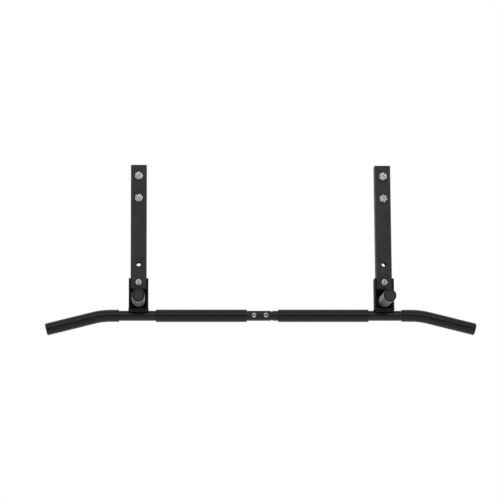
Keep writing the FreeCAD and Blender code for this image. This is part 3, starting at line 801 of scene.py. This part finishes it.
def flat_washer(node, level, hole):
    """An upright washer of its CAD node's size, and where it sits. The node's top row is at level."""
    low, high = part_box(node)
    thickness = high.y - low.y
    washer = start_piece("cylinder", vertices=72, radius=high.z - level, depth=thickness,
                         location=(0, 0, thickness / 2))
    bore_out(washer, hole / 2, -CLEAR, thickness + CLEAR)
    soften(washer, SMALL_SOFT_EDGE)
    return washer, high.y


nut_low, nut_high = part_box("beam_nuts")
stud_low, stud_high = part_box("beam_studs")
stud_places = [(middle(f"{side}_arm").x, level) for side in SIDES for level in (-stud_level, stud_level)]

nut_thickness = nut_high.y - nut_low.y
nut = hexagon_blank(BEAM_NUT_FLATS, 0, nut_thickness)
bore_out(nut, STUD / 2 + NUT_PLAY, -CLEAR, nut_thickness + CLEAR)
countersink(nut, STUD / 2 + NUT_COUNTERSINK, nut_thickness)
soften(nut, NUT_SOFT_EDGE)
nuts = set_out(nut, [(x, nut_high.y, z) for x, z in stud_places], (14, 5, -9, 2))
hang(nuts, "beam_nut_set", "zinc_plate", bright_zinc, "beam_nuts")

washer, seat = flat_washer("beam_washers", stud_level, BEAM_WASHER_HOLE)
washers = set_out(washer, [(x, seat, z) for x, z in stud_places], (0, 0, 0, 0))
# Painted shade: the beam washers take the darkened zinc.
hang(washers, "beam_washer_set", "zinc_plate", zinc_in_painted_shade, "beam_washers")

machine = wind_thread(STUD * THREAD_ROOT, STUD / 2, STUD_PITCH, 0, -stud_low.y)
carve(machine, turned_blank(STUD / 2, -CLEAR, -stud_low.y, STUD_CHAMFER, STUD_CHAMFER), "INTERSECT")
wood = wind_thread(WOOD_ROOT, WOOD_CREST, WOOD_PITCH, WOOD_POINT - stud_high.y, WOOD_POINT)
work(wood, "SIMPLE_DEFORM", deform_method="TAPER", deform_axis="Z", factor=WOOD_TAPER,
     limits=(1 - WOOD_POINT / stud_high.y, 1))
wood.rotation_euler = (math.pi, 0, 0)
wood.location = (0, 0, WOOD_POINT - stud_high.y)
stud = join([machine, wood])
bpy.ops.object.transform_apply(location=True, rotation=True, scale=True)
studs = set_out(stud, [(x, 0, z) for x, z in stud_places], (40, 110, 200, 300))
hang(studs, "beam_stud_set", "zinc_plate", bright_zinc, "beam_studs")


# ---- Bracket and joint fasteners -----------------------------------------------------------
# Hexagon bolts run from the back to the front and end in lock nuts: an M8 with a washer through
# each arm and bracket, and two M6 through the bar's joint. Each nut holds a black nylon ring in
# a rolled collar.
M8 = {"flats": 0.013, "diameter": 0.008}
M8_PITCH = 0.00125
M6 = {"flats": 0.010, "diameter": 0.006}
M6_PITCH = 0.001
M8_WASHER_HOLE = 0.0084
JOINT_THREAD_SHORTER = 0.0006
THREADED_DIAMETERS = 2.6
FACE_HEIGHT = 0.0004
FACE_LIFT = 0.00005
LOCK_NUT_SOFT_EDGE = 0.00025
RING_GAP = 0.0004


def hexagon_bolt(flats, diameter, pitch, head_low, head_high, end):
    """An upright bolt: its head is below head_high, and its thread ends at end."""
    head = hexagon_blank(flats, -head_high, -head_low, both=False)
    soften(head, SMALL_SOFT_EDGE)
    head.rotation_euler = (math.pi, 0, 0)
    washer_face = start_piece("cylinder", vertices=60, radius=flats * 0.46, depth=FACE_HEIGHT,
                              location=(0, 0, head_high + FACE_LIFT))
    thread_start = end - THREADED_DIAMETERS * diameter
    shank = start_piece("cylinder", vertices=48, radius=diameter * 0.49,
                        depth=thread_start - head_high + CLEAR,
                        location=(0, 0, (head_high + thread_start) / 2))
    thread = wind_thread(diameter * THREAD_ROOT, diameter * 0.49, pitch, thread_start, end)
    chamfer = diameter * 0.1
    carve(thread, turned_blank(diameter / 2, thread_start - 2 * CLEAR, end, chamfer, chamfer), "INTERSECT")
    bolt = join([head, washer_face, shank, thread])
    bpy.ops.object.transform_apply(location=True, rotation=True, scale=True)
    return bolt


def lock_nut(flats, diameter, thickness):
    """An upright lock nut and its nylon ring."""
    shoulder = thickness * 0.7
    nut = hexagon_blank(flats, 0, shoulder)
    middle_level = (thickness + shoulder - RING_GAP) / 2
    collar = start_piece("cylinder", vertices=60, radius=flats * 0.455,
                         depth=thickness - shoulder + RING_GAP, location=(0, 0, middle_level))
    soften(collar, flats * 0.07, 4)
    carve(nut, collar, "UNION")
    bore_out(nut, diameter / 2 + NUT_PLAY / 2, -CLEAR, thickness + CLEAR)
    bore_out(nut, diameter * 0.62, shoulder, thickness + CLEAR)
    soften(nut, LOCK_NUT_SOFT_EDGE)
    ring = start_piece("cylinder", vertices=48, radius=diameter * 0.62,
                       depth=thickness - shoulder - RING_GAP, location=(0, 0, middle_level))
    bore_out(ring, diameter * 0.46, 0, thickness)
    soften(ring, SMALL_SOFT_EDGE, 3)
    return nut, ring


nylon = coated("black nylon", (0.02, 0.02, 0.02), 0.45, cells=1500.0, relief=0.00002)

bracket_nut_low, bracket_nut_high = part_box("bracket_nuts")
bracket_bolt_low, bracket_bolt_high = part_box("bracket_bolts")
bracket_places = [(middle(f"{side}_arm").x, bracket_bolt_level) for side in SIDES]
channel_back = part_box("left_bracket")[1].y

washer, seat = flat_washer("bracket_washers", bracket_bolt_level, M8_WASHER_HOLE)
washers = set_out(washer, [(x, seat, z) for x, z in bracket_places], (0, 0))
# Painted shade: the bracket washers take the darkened zinc.
hang(washers, "bracket_washer_set", "zinc_plate", zinc_in_painted_shade, "bracket_washers")

bolt = hexagon_bolt(**M8, pitch=M8_PITCH, head_low=-bracket_bolt_high.y, head_high=-channel_back,
                    end=-bracket_bolt_low.y)
bolts = set_out(bolt, [(x, 0, z) for x, z in bracket_places], (12, 33))
hang(bolts, "bracket_bolt_set", "zinc_plate", bright_zinc, "bracket_bolts")

nut, ring = lock_nut(**M8, thickness=bracket_nut_high.y - bracket_nut_low.y)
places = [(x, bracket_nut_high.y, z) for x, z in bracket_places]
nuts = set_out(nut, places, (20, 41))
hang(nuts, "bracket_nut_set", "zinc_plate", bright_zinc, "bracket_nuts")
rings = set_out(ring, places, (0, 0))
hang(rings, "bracket_nut_rings", "cap_plastic", nylon)

joint_nut_low, joint_nut_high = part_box("joint_nuts")
bolt = hexagon_bolt(**M6, pitch=M6_PITCH, head_low=-bolts_high.y, head_high=-(bar_axis.y + TUBE / 2),
                    end=-bolts_low.y - JOINT_THREAD_SHORTER)
bolts = set_out(bolt, [(x, 0, bar_axis.z) for x in joint_places], (0, 25))
hang(bolts, "joint_bolt_set", "zinc_plate", bright_zinc, "joint_bolts")

nut, ring = lock_nut(**M6, thickness=joint_nut_high.y - joint_nut_low.y)
places = [(x, joint_nut_high.y, bar_axis.z) for x in joint_places]
nuts = set_out(nut, places, (32, 6))
hang(nuts, "joint_nut_set", "zinc_plate", bright_zinc, "joint_nuts")
rings = set_out(ring, places, (0, 0))
hang(rings, "joint_nut_rings", "cap_plastic", nylon)


# ---- Studio --------------------------------------------------------------------------------
# A pale floor far below, a white surround, a soft light above the front and a rim light on each
# side. The room is white, but for a dim patch behind the camera that the black paint mirrors.
FLOOR_SIZE = 200
FLOOR_LEVEL = -2.3
ROOM = 1.0
ROOM_LIGHT = 0.75
DIM_PATCH = 0.04
DIM_WAY = (0, -0.95, -0.31)
LIT_POINT = (0, 0, -0.25)

bpy.ops.object.select_all(action="DESELECT")
bpy.ops.mesh.primitive_plane_add(size=FLOOR_SIZE, location=(0, 0, FLOOR_LEVEL))
floor = bpy.context.object
floor.name = "floor"
floor_paint = bpy.data.materials.new("pale floor")
floor_paint.use_nodes = True
floor_body = floor_paint.node_tree.nodes["Principled BSDF"]
floor_body.inputs["Base Color"].default_value = (0.9, 0.9, 0.9, 1)
floor_body.inputs["Roughness"].default_value = 0.9
floor.data.materials.append(floor_paint)

world = bpy.data.worlds.new("white surround")
world.use_nodes = True
room = world.node_tree
towards = add_node(room, "TexCoord").outputs["Generated"]
facing = add_node(room, "VectorMath", {0: towards, 1: DIM_WAY}, operation="DOT_PRODUCT")
level = add_node(room, "MapRange", {"Value": facing.outputs["Value"], "From Min": 0.3, "From Max": 0.94,
                                    "To Min": ROOM_LIGHT, "To Max": DIM_PATCH},
                 interpolation_type="SMOOTHSTEP")
seen = add_node(room, "LightPath").outputs["Is Camera Ray"]
strength = add_node(room, "Mix", data_type="FLOAT")
room.links.new(seen, strength.inputs[0])
room.links.new(level.outputs[0], strength.inputs[2])
strength.inputs[3].default_value = ROOM
room.links.new(strength.outputs[0], room.nodes["Background"].inputs["Strength"])
room.nodes["Background"].inputs["Color"].default_value = (1, 1, 1, 1)
bpy.context.scene.world = world


def soft_light(name, place, size, power):
    """A rectangular light that faces the object and stays out of view."""
    lamp = bpy.data.lights.new(name, "AREA")
    lamp.shape = "RECTANGLE"
    lamp.size, lamp.size_y = size
    lamp.energy = power
    fitting = bpy.data.objects.new(name, lamp)
    bpy.context.scene.collection.objects.link(fitting)
    fitting.visible_camera = False
    fitting.location = place
    fitting.rotation_euler = (Vector(LIT_POINT) - Vector(place)).to_track_quat("-Z", "Y").to_euler()


soft_light("front softbox", (0, -3.6, 1.9), (4.5, 0.6), 34)
soft_light("left rim light", (-2.6, 1.0, -0.3), (0.8, 1.6), 30)
soft_light("right rim light", (2.6, 1.0, -0.3), (0.8, 1.6), 45)

CAMERA_PLACE = (-0.2661, -4.8, -0.8618)
CAMERA_AIM = (-0.0281, -0.015, -0.1553)
CAMERA_TILT = -0.0055
lens = bpy.data.cameras.new("camera")
lens.lens = 139.9
lens.sensor_width = 36
camera = bpy.data.objects.new("camera", lens)
bpy.context.scene.collection.objects.link(camera)
camera.location = CAMERA_PLACE
level_view = (Vector(CAMERA_AIM) - Vector(CAMERA_PLACE)).to_track_quat("-Z", "Y")
camera.rotation_euler = (level_view @ Quaternion((0, 0, 1), CAMERA_TILT)).to_euler()
bpy.context.scene.camera = camera
bpy.context.scene.view_settings.view_transform = "Standard"
